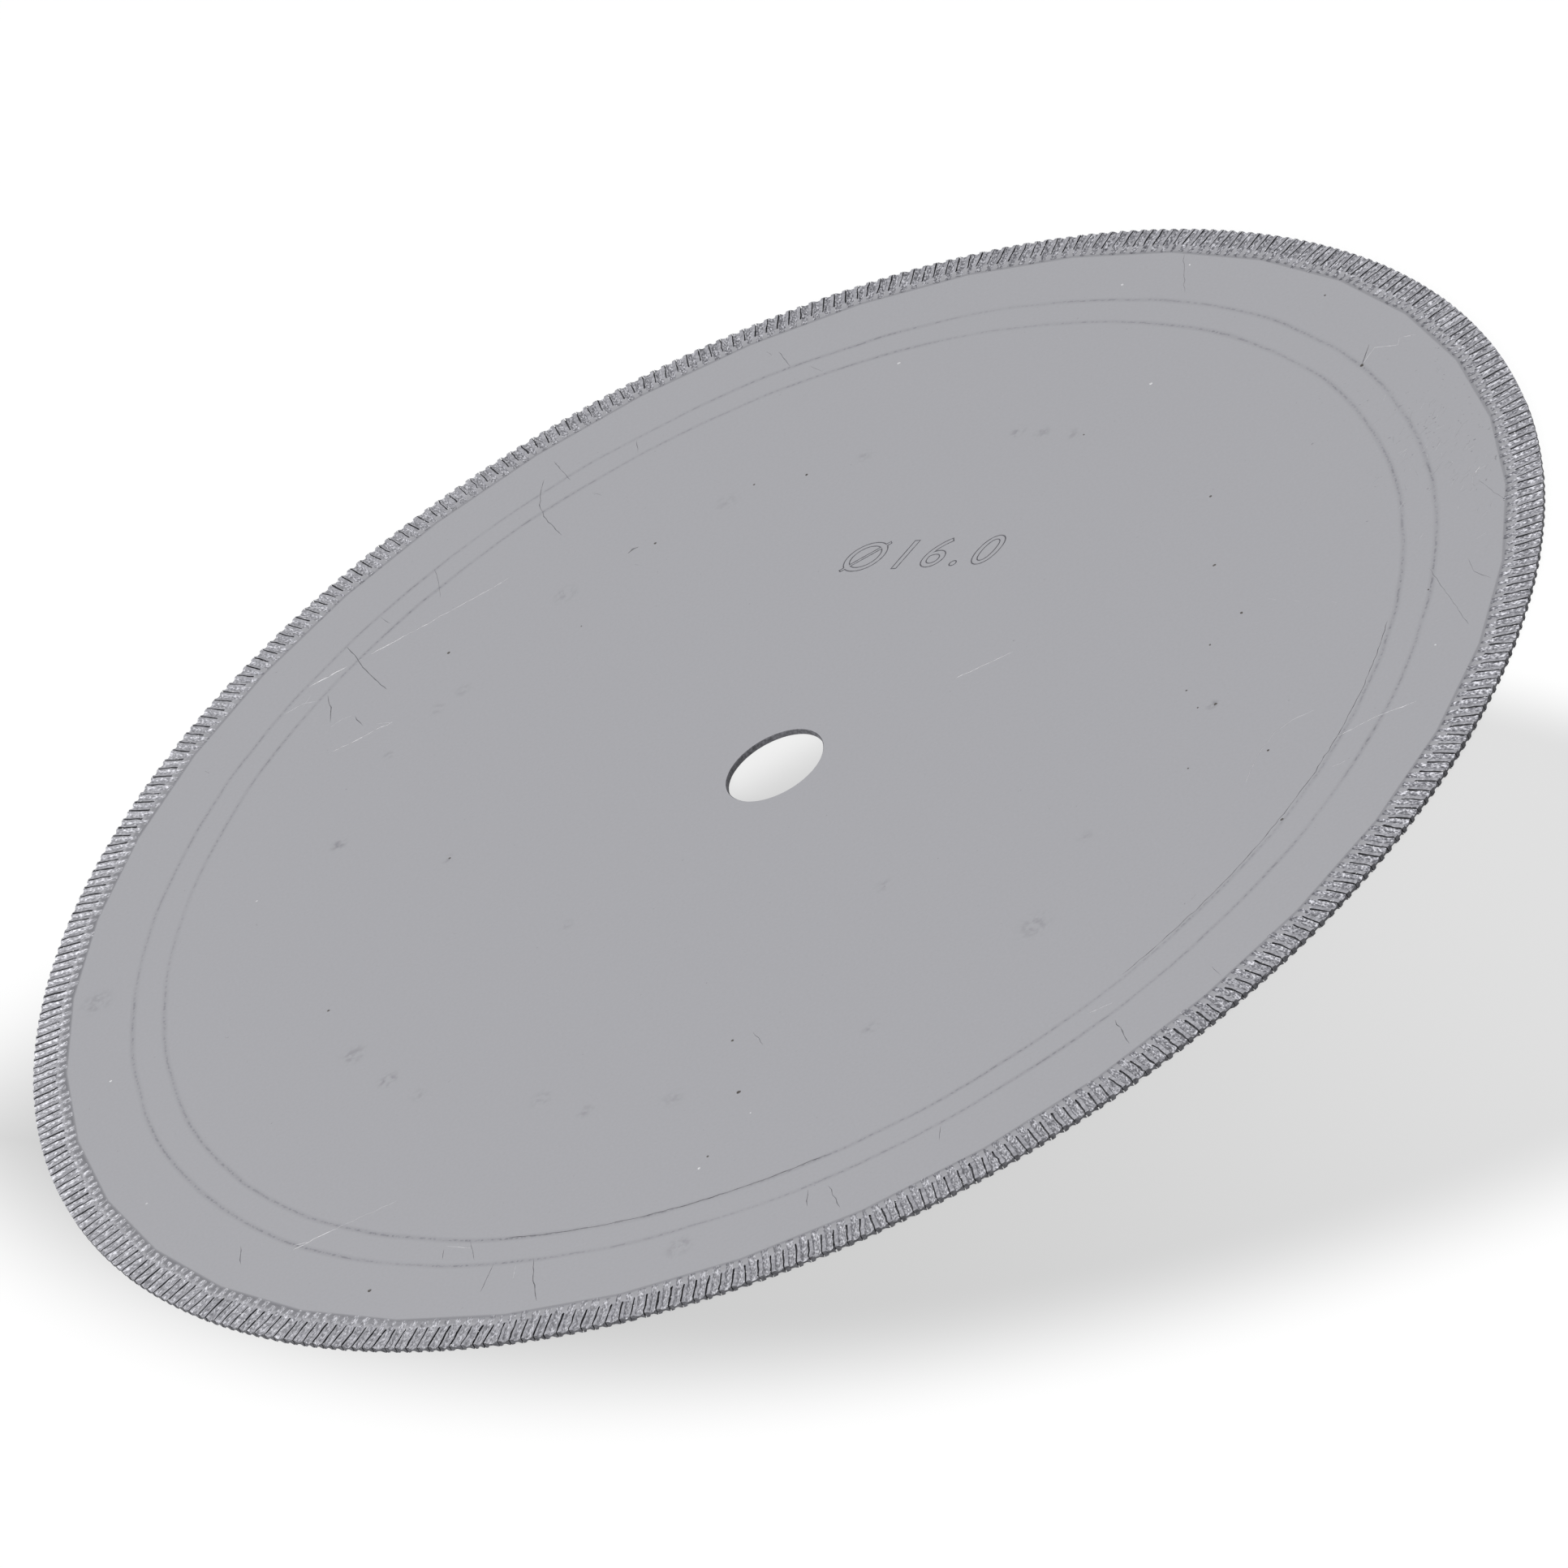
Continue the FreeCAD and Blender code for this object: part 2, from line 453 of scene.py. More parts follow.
# The cut walls of a slit, dark with grit and binder
slit_wall = make_plain_steel("gritty_slit_wall", "#26262a", "#505054", 0.5 * MM, 0.0, 0.8)
# Sheared edges of the sheet, at the rim and in the bore: dull, and dark partly as painted shade on these
# walls
sheared_steel = make_plain_steel("sheared_steel_edge", "#48484c", "#6e6e73", 0.4 * MM, 0.3, 0.7)
# Lands beside the slits, burnished by the press: a smooth light grey
lip_steel = make_plain_steel("burnished_land", "#909096", "#b6b6bc", 0.6 * MM, 0.6, 0.5)
BLADE_FINISHES = [sheet_steel, pressed_steel, slit_wall, sheared_steel, lip_steel]
SHEET, PRESSED, WALL, SHEARED, LIP = range(5)

# A tooth's mesh is a grid of rows, from the web out to the rim, each so far in from the rim, and
# of columns, from the slit before it to the slit after it. The rows are at a dent's inner end, on
# its slope, at a slit's tip and shoulder, at two places where a slit bends, near the rim and on it.
row_from_rim = [dent_length, 4.9 * MM, slit_depth, 4.05 * MM, 2.8 * MM, 1.6 * MM, 0.45 * MM, 0.0]
END_ROW, TIP_ROW, SHOULDER_ROW, MOUTH_ROW = 0, 2, 3, 7
# The share of a slit's width at each row: none inwards of its blunt end, and pinched at the rim
row_slit_share = [0.0, 0.0, 0.0, 1.0, 1.0, 1.0, 1.0, 0.6]
# The press leaves a broad land on one side of a slit and a narrow one on the other
row_broad_land = [share * MM for share in (0.54, 0.56, 0.62, 0.64, 0.65, 0.67, 0.68, 0.66)]
row_narrow_land = [share * MM for share in (0.30, 0.26, 0.22, 0.20, 0.19, 0.17, 0.16, 0.13)]
# A dent has a steep wall, a rough floor and a gentler wall, and gets deeper towards the rim
full_depth = (thickness - neck_thickness) / 2
row_depth_share = [0.0, 0.62, 0.85, 0.88, 0.92, 0.96, 1.0, 1.04]
# Where the columns lie between a dent's edges. The outer ones are the slits' own edges, and how
# far the foot of the steep wall lies from the first edge comes from the slit.
COLUMNS = 6
STEEP_FOOT, GENTLE_FOOT = 2, 3
column_share = [None, 0.0, None, 0.6, 1.0, None]
# A dent's floor reaches a little farther in than its edges
floor_reach = 0.12 * MM
# The rim's corner is pressed down a little at the slits, and more at the dents' edges
corner_drop, dent_corner_drop = 0.02 * MM, 0.05 * MM


def make_slits():
    """Every slit's place in its group, with the small unevenness of cutting it.

    The slits on the photograph's left and right gape widest and those on its far side least,
    and the dents on its left were pressed closer to the slit before them, with a slacker wall.
    """
    slits = []
    for number in range(slit_count):
        group, place = divmod(number, slits_per_group)
        turn = group * group_turn
        leftness = max(0.0, -math.cos(turn - photo_turn)) ** 2
        gape = 1.2 + 0.5 * math.cos(turn - photo_turn) ** 2 - 0.12 * math.sin(turn - photo_turn)
        slits.append({
            "turn": turn,
            "across": (place - (slits_per_group - 1) / 2) * slit_pitch + dice.gauss(0, 0.03 * MM),
            "half": slit_mouth / 2 * gape * dice.uniform(0.8, 1.2),
            "shift": -0.42 * MM * leftness,
            "wall": 0.14 + 0.16 * leftness,
            "tip": dice.gauss(0, 0.12 * MM),
            "lean": dice.gauss(0, 0.05 * MM),
            "bends": [0.0] + [dice.gauss(0, 0.055 * MM) for row in range(MOUTH_ROW)],
            "gapes": [dice.uniform(0.65, 1.3) for row in range(MOUTH_ROW + 1)],
        })
    return slits


def make_dent():
    """The unevenness of one dent: its depth, its inner end, and its edges and floor row by row."""
    return {
        "depth": dice.uniform(0.85, 1.1),
        "end": dice.gauss(0, 0.15 * MM),
        "edges": [[dice.uniform(-0.06, 0.06) for row in range(MOUTH_ROW + 1)] for column in range(COLUMNS)],
        "floor": [[dice.gauss(0, 0.02 * MM) for row in range(MOUTH_ROW + 1)] for column in range(COLUMNS)],
    }


def rim_place(slit, from_rim, across):
    """A plan point beside a slit, in from the rim along the slit.

    The slits of a group start at the round rim, and their inner ends lie on a straight line.
    """
    inwards = min(1.0, from_rim / slit_depth)
    rim_along = math.sqrt(rim_radius ** 2 - slit["across"] ** 2)
    along = rim_along + (rim_radius - rim_along) * inwards - from_rim
    leaning = slit["lean"] * (1 - from_rim / dent_length)
    return Matrix.Rotation(slit["turn"], 2) @ Vector((along, slit["across"] + leaning + across))


def tooth_point(before, after, dent, column, row, side):
    """Where a vertex of the flat pattern goes on the tooth between two slits."""
    from_rim = row_from_rim[row]
    if column in (0, COLUMNS - 1):
        slit, sign = (before, 1) if column == 0 else (after, -1)
        if row in (TIP_ROW, SHOULDER_ROW):
            from_rim += slit["tip"]
        half = row_slit_share[row] * slit["half"] * slit["gapes"][row]
        plan = rim_place(slit, from_rim, sign * half + slit["bends"][row])
        depth = corner_drop if row == MOUTH_ROW else 0.0
    else:
        on_floor = column in (STEEP_FOOT, GENTLE_FOOT)
        broad_across = row_broad_land[row] + before["shift"] + before["bends"][row]
        narrow_across = -row_narrow_land[row] + before["shift"] + after["bends"][row]
        broad_edge = rim_place(before, from_rim, broad_across)
        narrow_edge = rim_place(after, from_rim, narrow_across)
        share = before["wall"] if column == STEEP_FOOT else column_share[column]
        plan = broad_edge.lerp(narrow_edge, share + dent["edges"][column][row])
        if row == END_ROW:
            plan -= plan.normalized() * (dent["end"] + (floor_reach if on_floor else 0.0))
        if on_floor:
            depth = full_depth * row_depth_share[row] * dent["depth"]
            depth += dent["floor"][column][row] if row > END_ROW else 0.0
        else:
            depth = dent_corner_drop if row == MOUTH_ROW else 0.0
    height = thickness - depth if side else depth
    return Vector((plan.x, plan.y, blade_low.z + height))


def make_tooth_pattern():
    """A tooth as a flat pattern: column, row and side are its coordinates."""
    deselect_all()
    bpy.ops.mesh.primitive_grid_add(x_subdivisions=COLUMNS - 1, y_subdivisions=MOUTH_ROW, size=2)
    pattern = bpy.context.object
    bpy.ops.object.mode_set(mode="EDIT")
    bpy.ops.mesh.select_all(action="SELECT")
    bpy.ops.transform.resize(value=((COLUMNS - 1) / 2, MOUTH_ROW / 2, 1))
    bpy.ops.transform.translate(value=((COLUMNS - 1) / 2, MOUTH_ROW / 2, 1))
    bpy.ops.mesh.duplicate()
    bpy.ops.transform.translate(value=(0, 0, -1))
    bpy.ops.mesh.flip_normals()
    bpy.ops.mesh.select_all(action="DESELECT")
    bpy.ops.object.mode_set(mode="OBJECT")
    mesh = pattern.data
    for edge in mesh.edges:
        ends = [mesh.vertices[i].co for i in edge.vertices]
        at_rim = all(round(end.y) == MOUTH_ROW for end in ends)
        beside_slit = all(round(end.x) in (0, COLUMNS - 1) and round(end.y) >= TIP_ROW for end in ends)
        edge.select = at_rim or beside_slit
    bpy.ops.object.mode_set(mode="EDIT")
    bpy.ops.mesh.select_mode(type="EDGE")
    bpy.ops.mesh.bridge_edge_loops()
    bpy.ops.mesh.select_all(action="SELECT")
    bpy.ops.mesh.normals_make_consistent(inside=False)
    bpy.ops.object.mode_set(mode="OBJECT")
    for finish in BLADE_FINISHES:
        mesh.materials.append(finish)
    for face in mesh.polygons:
        middle = face.center
        on_rim = middle.y > MOUTH_ROW - 0.1
        if middle.z not in (0.0, 1.0):
            face.material_index = SHEARED if on_rim else WALL
        elif 1 < middle.x < COLUMNS - 2:
            face.material_index = PRESSED
        else:
            face.material_index = LIP if middle.y > TIP_ROW else SHEET
    return pattern


slits = make_slits()
pattern = make_tooth_pattern()
print("tooth pattern", len(pattern.data.vertices), "vertices", len(pattern.data.polygons), "faces")

# The whole rim, a tooth at a time
deselect_all()
for number in range(slit_count):
    dent = make_dent()
    tooth = pattern.copy()
    tooth.data = pattern.data.copy()
    bpy.context.scene.collection.objects.link(tooth)
    after = slits[(number + 1) % slit_count]
    for vertex in tooth.data.vertices:
        column, row, side = (round(value) for value in vertex.co)
        vertex.co = tooth_point(slits[number], after, dent, column, row, side)
    tooth.select_set(True)
bpy.data.objects.remove(pattern)
bpy.context.view_layer.objects.active = tooth
bpy.ops.object.join()
blade = bpy.context.object
blade.name = "slit_blade"
bpy.ops.object.mode_set(mode="EDIT")
bpy.ops.mesh.select_all(action="SELECT")
weld = 0.002 * MM
bpy.ops.mesh.remove_doubles(threshold=weld)
bpy.ops.mesh.select_mode(type="EDGE")
bpy.ops.mesh.select_all(action="DESELECT")
bpy.ops.mesh.select_non_manifold(
    extend=False, use_boundary=True,
    use_wire=False, use_multi_face=False, use_non_contiguous=False, use_verts=False,
)

# The web, from the teeth in to the bore, with two lines scribed in its upper face: a ring's
# radius, how far below the faces it lies, and whether on both of them
bore_break = 0.12 * MM
WEB_RINGS = [
    (outer_line + 0.32 * MM, 0.0, False),
    (outer_line, 0.008 * MM, False),
    (outer_line - 0.32 * MM, 0.0, False),
    (inner_line + 0.4 * MM, 0.0, False),
    (inner_line, 0.008 * MM, False),
    (inner_line - 0.4 * MM, 0.0, False),
    (bore_radius + bore_break, 0.0, True),
    (bore_radius, bore_break, True),
]
for ring_radius, drop, both_faces in WEB_RINGS:
    bpy.ops.mesh.extrude_edges_move()
    bpy.ops.object.mode_set(mode="OBJECT")
    ring = sorted(
        (vertex for vertex in blade.data.vertices if vertex.select),
        key=lambda vertex: (vertex.co.z > blade_low.z + thickness / 2, math.atan2(vertex.co.y, vertex.co.x)),
    )
    for order, vertex in enumerate(ring):
        upper, place = divmod(order, len(ring) // 2)
        angle = (place + 0.5) / (len(ring) // 2) * 2 * math.pi - math.pi
        if upper:
            height = blade_high.z - drop
        else:
            height = blade_low.z + (drop if both_faces else 0.0)
        vertex.co = (ring_radius * math.cos(angle), ring_radius * math.sin(angle), height)
    bpy.ops.object.mode_set(mode="EDIT")
bpy.ops.mesh.bridge_edge_loops()
bpy.ops.mesh.select_all(action="SELECT")
bpy.ops.mesh.normals_make_consistent(inside=False)
bpy.ops.object.mode_set(mode="OBJECT")
# The middles of the web's faces lie inside this radius
web_reach = 115 * MM
for face in blade.data.polygons:
    radius = face.center.to_2d().length
    if radius < bore_radius + bore_break:
        face.material_index = SHEARED
    elif radius < web_reach:
        face.material_index = SHEET
print("blade", len(blade.data.vertices), "vertices", len(blade.data.polygons), "faces")
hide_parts("blade")
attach(blade, "root")

# Abrasive in the slits, a speckled near black: diamond grit in a binder that the lips of a slit hold.
# It fills a slit from near the rim to the inner end, in the middle of the sheet, and a little
# more than the slit's width, so that it meets the bent walls.
grit_binder = make_plain_steel("diamond_grit_in_binder", "#28282b", "#7e7e84", 0.5 * MM, 0.0, 0.8)
grit_from_rim, grit_hold = 0.3 * MM, 0.12 * MM
grit_bottom, grit_top = blade_low.z + thickness * 0.3, blade_low.z + thickness * 0.7
deselect_all()
bpy.ops.mesh.primitive_cube_add(size=2)
block = bpy.context.object
deselect_all()
for slit in slits:
    filling = block.copy()
    filling.data = block.data.copy()
    bpy.context.scene.collection.objects.link(filling)
    for vertex in filling.data.vertices:
        inner, left, low = (value < 0 for value in vertex.co)
        from_rim = slit_depth + slit["tip"] if inner else grit_from_rim
        plan = rim_place(slit, from_rim, (-1 if left else 1) * (slit["half"] + grit_hold))
        vertex.co = (plan.x, plan.y, grit_bottom if low else grit_top)
    filling.select_set(True)
bpy.data.objects.remove(block)
bpy.context.view_layer.objects.active = filling
bpy.ops.object.join()
grit = bpy.context.object
grit.name = "grit_in_slits"
grit.data.materials.append(grit_binder)
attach(grit, "root")

# Marks of use on the upper face, read off the photograph: a stroke's width and its course, and
# a grain's place and width, all in millimetres to the right of the bore and away from the camera
BRIGHT_STROKES = [
    (0.30, [(-57.1, 91.0), (-50.4, 90.6)]),
    (0.25, [(-48.3, 90.4), (-47.7, 90.3)]),
    (0.30, [(-46.1, 90.2), (-39.4, 89.9)]),
    (0.15, [(-39.4, 89.9), (-24.4, 89.2), (-21.3, 89.5)]),
    (0.15, [(-59.1, 69.8), (-54.3, 69.1), (-51.2, 69.0), (-48.0, 68.4)]),
    (0.10, [(-50.4, 70.5), (-48.0, 68.4)]),
    (0.10, [(-56.9, 76.7), (-54.7, 77.0), (-53.2, 76.4)]),
    (0.10, [(-62.6, 87.4), (-59.1, 87.3), (-57.0, 85.8)]),
    (0.08, [(-59.5, 86.5), (-57.4, 88.4)]),
    (0.20, [(-96.1, -50.0), (-93.7, -51.2)]),
    (0.20, [(-96.5, -51.0), (-90.6, -51.6), (-88.0, -52.0)]),
    (0.08, [(-88.0, -52.0), (-79.5, -53.6)]),
    (0.10, [(-76.0, -70.9), (-72.8, -74.8)]),
    (0.08, [(-68.1, -84.7), (-69.3, -87.4)]),
    (0.14, [(29.9, -4.3), (39.4, -5.9)]),
    (0.08, [(57.9, -70.1), (61.4, -65.4), (65.4, -62.2), (68.5, -61.6), (72.1, -62.2)]),
    (0.14, [(72.1, -71.5), (78.7, -72.1), (85.1, -74.0)]),
    (0.12, [(69.7, -78.0), (71.7, -78.4)]),
    (0.14, [(107.6, 16.2), (110.3, 18.5), (113.4, 15.7), (114.2, 17.3), (116.6, 15.7)]),
    (0.34, [(111.1, -27.9), (111.9, -27.1), (112.7, -26.4)]),
    (0.16, [(110.8, -28.2), (111.3, -27.2)]),
    (0.12, [(20.9, -102.4), (24.8, -103.2)]),
    (0.12, [(75.6, -29.1), (76.4, -30.3)]),
    (0.12, [(78.6, -33.2), (79.2, -34.2)]),
    (0.12, [(83.1, -38.6), (83.6, -39.6)]),
]
DARK_STROKES = [
    (0.14, [(-49.0, 96.2), (-48.4, 91.4), (-48.0, 86.6), (-47.4, 82.7), (-46.5, 78.1)]),
    (0.10, [(-42.1, 98.8), (-41.3, 95.7)]),
    (0.08, [(-31.1, 103.6), (-31.5, 99.2), (-32.4, 94.9)]),
    (0.12, [(-9.1, 111.0), (-10.6, 107.9), (-11.7, 104.7), (-12.0, 100.8), (-11.0, 92.9)]),
    (0.10, [(-6.3, 114.6), (-5.9, 110.3), (-5.5, 106.7)]),
    (0.10, [(-3.5, 99.6), (-2.4, 97.3)]),
    (0.14, [(-55.1, 85.8), (-55.5, 81.9), (-56.7, 78.0)]),
    (0.14, [(-52.8, 75.8), (-52.4, 72.1)]),
    (0.20, [(-77.6, 84.3), (-77.2, 83.1)]),
    (0.45, [(-3.3, 77.4), (-2.4, 77.8), (-1.4, 77.5)]),
    (0.25, [(-3.3, 73.3), (-2.8, 72.6)]),
    (0.08, [(94.9, 72.5), (91.4, 61.4)]),
    (0.10, [(33.1, 109.1), (33.5, 103.2)]),
    (0.10, [(31.5, 111.0), (31.9, 109.1)]),
    (0.10, [(36.2, 100.0), (37.4, 96.5)]),
    (0.08, [(6.7, 107.1), (5.9, 103.6)]),
    (0.16, [(109.9, 20.1), (107.1, 15.8)]),
    (0.12, [(-22.1, -62.2), (-21.7, -66.5)]),
    (0.10, [(-76.4, -71.3), (-77.3, -73.6)]),
    (0.10, [(-72.5, -73.2), (-73.2, -78.0)]),
    (0.10, [(-70.9, -81.5), (-74.4, -86.2)]),
    (0.14, [(-65.4, -85.4), (-66.9, -90.6), (-67.7, -95.7)]),
    (0.14, [(-26.0, -105.9), (-27.2, -109.5)]),
    (0.14, [(-23.2, -107.7), (-23.2, -114.0)]),
    (0.10, [(-5.1, -108.7), (-6.3, -111.8)]),
    (0.12, [(-103.2, -42.9), (-104.3, -47.2)]),
    (0.06, [(97.7, -44.1), (97.7, -63.0)]),
    (0.14, [(23.9, -107.5), (23.9, -114.6)]),
    (0.10, [(39.6, -107.9), (40.0, -111.0)]),
    (0.20, [(42.2, -90.0), (43.2, -89.4)]),
    (0.08, [(103.2, -47.3), (102.8, -51.0), (104.3, -55.1)]),
    (0.12, [(110.2, -26.3), (111.3, -25.9)]),
    (0.10, [(110.0, -27.2), (110.6, -26.8)]),
    (0.10, [(110.3, -22.9), (111.3, -22.5)]),
    (0.05, [(111.2, -29.3), (112.0, -34.8), (112.9, -38.7)]),
]
DARK_GRAINS = [
    (1.1, 75.9, 0.5), (19.0, 76.4, 0.4), (26.8, 70.9, 0.5), (66.2, 39.2, 0.4), (108.8, 39.4, 0.45),
    (77.0, 4.6, 0.45), (-28.1, -74.3, 0.65), (-25.3, -61.3, 0.5), (-88.8, -71.1, 0.6), (-36.4, -85.1, 0.4),
    (71.7, -13.2, 0.5), (71.1, -28.8, 0.6), (64.6, -32.2, 0.4), (58.0, -40.0, 0.35), (58.0, -45.7, 0.35),
    (60.5, -47.3, 0.6), (63.2, -65.5, 0.5), (59.4, -83.5, 0.5), (95.8, -49.2, 0.4), (52.0, -58.9, 0.35),
    (-35.3, 78.4, 0.6), (-15.2, 65.0, 0.35), (-76.5, 2.8, 0.45), (-49.8, 23.9, 0.45), (107.1, 15.8, 0.7),
]
BRIGHT_GRAINS = [
    (48.2, 86.8, 0.5), (84.1, 73.2, 0.5), (94.5, 68.1, 0.45), (79.1, 42.5, 0.55), (-110.9, 16.7, 0.45),
    (-79.1, 41.6, 0.35), (-113.4, -19.3, 0.4), (-38.3, -86.7, 0.45), (-28.0, -80.7, 0.3), (92.0, -63.3, 0.35),
]
# A mark's height above the face, for each millimetre of its width
mark_rise = 0.05
# A stroke is bent at steps of this length, sideways by so much
stroke_step, stroke_sway = 1.2 * MM, 0.07 * MM
# Where the nicks of the worn patch lie thickest, how far they spread, and the radius they keep
# inside, in millimetres
NICKS_MIDDLE, NICKS_SPREAD, NICKS_LIMIT = (110, -19), (4, 13), 117


def arc(radius, start, end):
    """A course along a circle round the bore, between two angles in degrees."""
    angles = [math.radians(start + (end - start) * step / 10) for step in range(11)]
    return [(radius * math.cos(angle), radius * math.sin(angle)) for angle in angles]


def finish_marks(piece, name, finish):
    """Flattens a piece that lies round height 0 and sinks it into the upper face."""
    for vertex in piece.data.vertices:
        vertex.co.z = blade_high.z + vertex.co.z * 2 * mark_rise
    piece.name = name
    piece.data.materials.clear()
    piece.data.materials.append(finish)
    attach(piece, "root")


def lay_strokes(name, finish, strokes):
    """Scratches and nicks: threads of ragged width."""
    deselect_all()
    curve = bpy.data.curves.new(name, "CURVE")
    curve.dimensions = "3D"
    curve.bevel_depth = MM / 2
    curve.bevel_resolution = 0
    curve.use_fill_caps = True
    for width, course in strokes:
        plans = [seen(*course[0])]
        for end in course[1:]:
            start, end = plans[-1], seen(*end)
            steps = max(1, round((end - start).length / stroke_step))
            sideways = (end - start).orthogonal().normalized()
            for step in range(1, steps + 1):
                sway = dice.gauss(0, stroke_sway) if step < steps else 0.0
                plans.append(start.lerp(end, step / steps) + sideways * sway)
        spline = curve.splines.new("POLY")
        spline.points.add(len(plans) - 1)
        for point, plan in zip(spline.points, plans):
            point.co = (plan.x, plan.y, 0, 1)
            point.radius = width * dice.uniform(0.5, 1.2)
        spline.points[0].radius = spline.points[-1].radius = width * 0.2
    piece = bpy.data.objects.new(name, curve)
    bpy.context.scene.collection.objects.link(piece)
    piece.select_set(True)
    bpy.context.view_layer.objects.active = piece
    bpy.ops.object.convert(target="MESH")
    finish_marks(bpy.context.object, name, finish)


def worn_nicks(count):
    """Short fine nicks that lie much one way, thickest at the middle of the worn patch."""
    nicks = []
    while len(nicks) < count:
        x, y = (dice.gauss(middle, spread) for middle, spread in zip(NICKS_MIDDLE, NICKS_SPREAD))
        direction, half_long = math.radians(dice.gauss(35, 25)), dice.uniform(0.3, 0.9)
        if math.hypot(x, y) < NICKS_LIMIT:
            step_x, step_y = half_long * math.cos(direction), half_long * math.sin(direction)
            nicks.append((dice.uniform(0.08, 0.16), [(x - step_x, y - step_y), (x + step_x, y + step_y)]))
    return nicks


def scatter_grains(name, finish, grains):
    """Pits and grains: small uneven balls."""
    deselect_all()
    balls = []
    for right, away, width in grains:
        plan = seen(right, away)
        bpy.ops.mesh.primitive_ico_sphere_add(subdivisions=2, radius=width / 2 * MM)
        ball = bpy.context.object
        stretch = dice.uniform(0.7, 1.2)
        for vertex in ball.data.vertices:
            vertex.co *= dice.uniform(0.85, 1.15)
            vertex.co.x = vertex.co.x * stretch + plan.x
            vertex.co.y += plan.y
        balls.append(ball)
    for ball in balls:
        ball.select_set(True)
    bpy.ops.object.join()
    finish_marks(bpy.context.object, name, finish)


def scatter_burrs(name, finish, count):
    """Grains of torn steel on the lips of the slits, few-sided because there are hundreds; their bright
    colour is a painted glint.
    """
    deselect_all()
    bpy.ops.mesh.primitive_ico_sphere_add(subdivisions=1, radius=0.5)
    grain = bpy.context.object
    deselect_all()
    for number in range(count):
        slit = dice.choice(slits)
        from_rim, width = dice.uniform(0.1, 4.4) * MM, dice.uniform(0.14, 0.32) * MM
        plan = rim_place(slit, from_rim, dice.choice((-1, 1)) * (slit["half"] + dice.uniform(0.02, 0.1) * MM))
        burr = grain.copy()
        burr.data = grain.data.copy()
        bpy.context.scene.collection.objects.link(burr)
        for vertex in burr.data.vertices:
            vertex.co *= width * dice.uniform(0.7, 1.2)
            vertex.co.x += plan.x
            vertex.co.y += plan.y
        burr.select_set(True)
    bpy.data.objects.remove(grain)
    bpy.context.view_layer.objects.active = burr
    bpy.ops.object.join()
    finish_marks(bpy.context.object, name, finish)


# Bare bright metal in a fresh scratch, which also gives the painted glints on the slits' lips, old scratches
# that hold grey dirt, and pits gone brown
bright_scratch_and_glint = make_plain_steel("fresh_scratch_and_painted_glint", "#c4c4c8", "#f0f0f2", 0.6 * MM, 0.3, 0.5)
dark_scratch = make_plain_steel("dirty_scratch", "#6a6a6e", "#8e8e92", 0.8 * MM, 0.2, 0.7)
dark_grain = make_plain_steel("rust_pit", "#45403c", "#6a6764", 0.3 * MM, 0.0, 0.8)
lay_strokes("bright_scratches", bright_scratch_and_glint, BRIGHT_STROKES + worn_nicks(30))
# Arcs beside the inner line, where it looks doubled
dark_arcs = [(0.18, arc(102.6, -131, -102)), (0.12, arc(102.0, -74, -30))]
lay_strokes("dark_scratches", dark_scratch, DARK_STROKES + dark_arcs + worn_nicks(70))
scatter_grains("dark_pits", dark_grain, DARK_GRAINS)
scatter_grains("bright_grains", bright_scratch_and_glint, BRIGHT_GRAINS)
# Painted glints: bright grains on the slits' lips
scatter_burrs("slit_burrs", bright_scratch_and_glint, 420)

# The bore's diameter in outlined figures, engraved on a slant beside the bore
deselect_all()
bpy.ops.object.text_add()
figures = bpy.context.object
figures.data.body = "\u00d816.0"
figures.data.size = 9.4 * MM
figures.data.shear = 0.2
figures.data.space_character = 1.3
figures.data.fill_mode = "NONE"
figures.data.bevel_depth = 0.1 * MM
figures.data.bevel_resolution = 0
bpy.ops.object.convert(target="MESH")
figures = bpy.context.object
mark_start = seen(22.5, 41.0)
mark_turn = Matrix.Rotation(photo_turn - math.radians(45), 2)
for vertex in figures.data.vertices:
    plan = mark_start + mark_turn @ vertex.co.to_2d()
    vertex.co = (plan.x, plan.y, vertex.co.z)
# The groove of an engraved figure is dull and dark
engraved_groove = make_plain_steel("engraved_groove", "#4e4e53", "#7c7c82", 0.5 * MM, 0.2, 0.7)
finish_marks(figures, "bore_size_figures", engraved_groove)

# Floor: pale matt board, white to the camera, with a painted soft shade on the blade's near side and
# in the bore
deselect_all()
bpy.ops.mesh.primitive_plane_add(size=6, location=(0, 0, blade_low.z - 0.02 * MM))
floor = bpy.context.object
floor.name = "floor"
floor_paint, floor_shader = new_material("pale_floor")
floor_shader.inputs["Base Color"].default_value = linear("#f2f2f2")
floor_shader.inputs["Roughness"].default_value = 0.9
floor.data.materials.append(floor_paint)
floor_place = add_node(floor_paint, "ShaderNodeTexCoord", {}, {}).outputs["Object"]


def soft_step(operation, reference, start, end, low, high):
    """A value that runs softly from low to high where the floor's place, taken with a reference, does."""
    measured = add_node(
        floor_paint, "ShaderNodeVectorMath", {"operation": operation}, {0: floor_place, 1: reference.to_3d()},
    )
    return add_node(
        floor_paint, "ShaderNodeMapRange", {"interpolation_type": "SMOOTHSTEP"},
        {"Value": measured.outputs["Value"], "From Min": start, "From Max": end,
         "To Min": low, "To Max": high},
    ).outputs["Result"]


